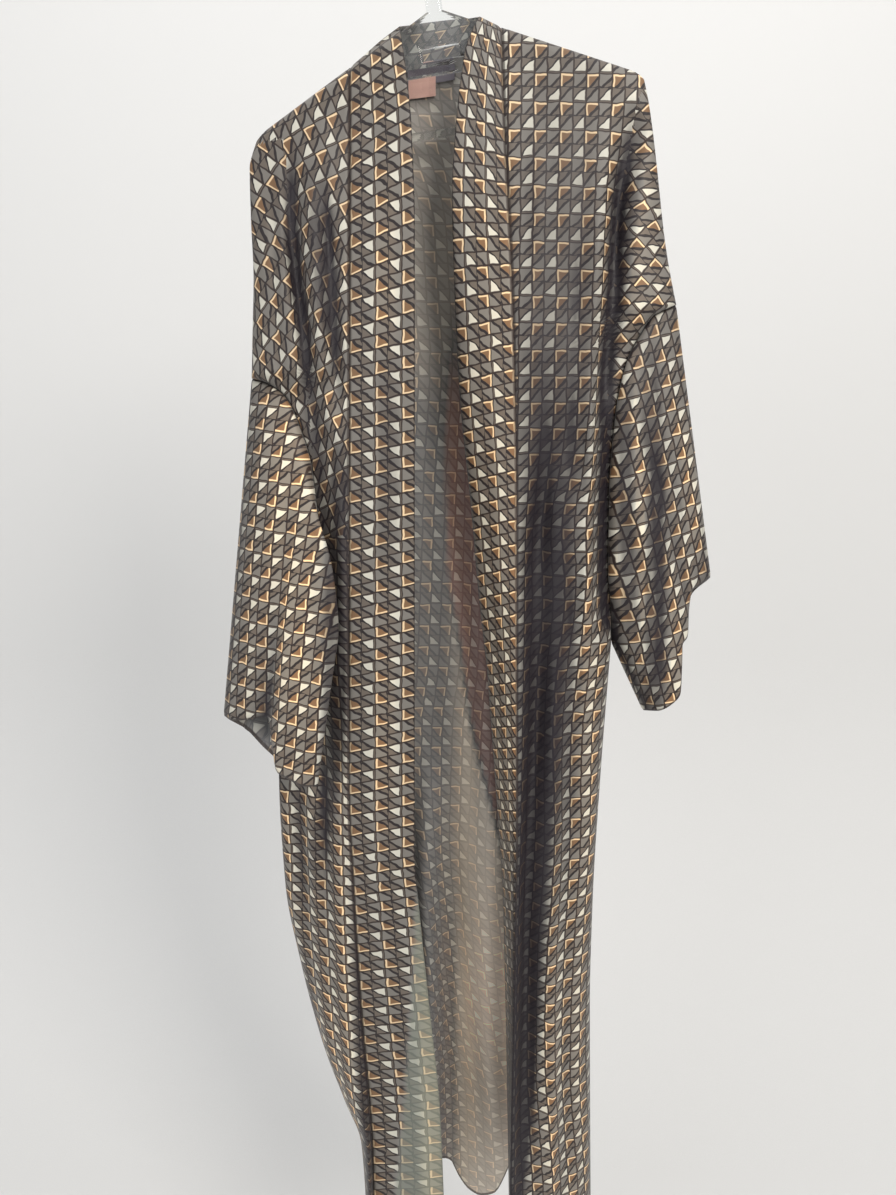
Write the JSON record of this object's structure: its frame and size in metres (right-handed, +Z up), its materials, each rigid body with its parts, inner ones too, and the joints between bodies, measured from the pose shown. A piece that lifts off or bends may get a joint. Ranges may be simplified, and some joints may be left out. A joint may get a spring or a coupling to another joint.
{
  "type": "abaya on hanger",
  "caption": "Long open-front abaya with wide sleeves and a straight band down the opening, in printed crepe, hanging on a clear hanger with a wire hook.",
  "frame": {"origin": "inside the crown of the hanger's hook, where a rod carries it", "axes": "+Z up, -Y out of the robe's open front, +X to the right of a viewer who faces that front"},
  "size_m": [0.5841, 0.1466, 1.6976],
  "materials": {
    "print_cloth": "soft crepe with a faint sheen, small squares-and-triangles print, muted on the wrong side",
    "neck_label": "woven tape, blank",
    "size_label": "woven tape, blank",
    "clear_plastic": "clear, moulded",
    "hook_wire": "bright"
  },
  "bodies": {
    "root": {"back": "print_cloth", "band_neck": "print_cloth", "front_left": "print_cloth", "band_left": "print_cloth", "sleeve_left": "print_cloth", "front_right": "print_cloth", "band_right": "print_cloth", "sleeve_right": "print_cloth", "neck_label": "neck_label", "size_label": "size_label", "hanger_body": "clear_plastic", "hanger_hook": "hook_wire"}
  },
  "joints": []
}
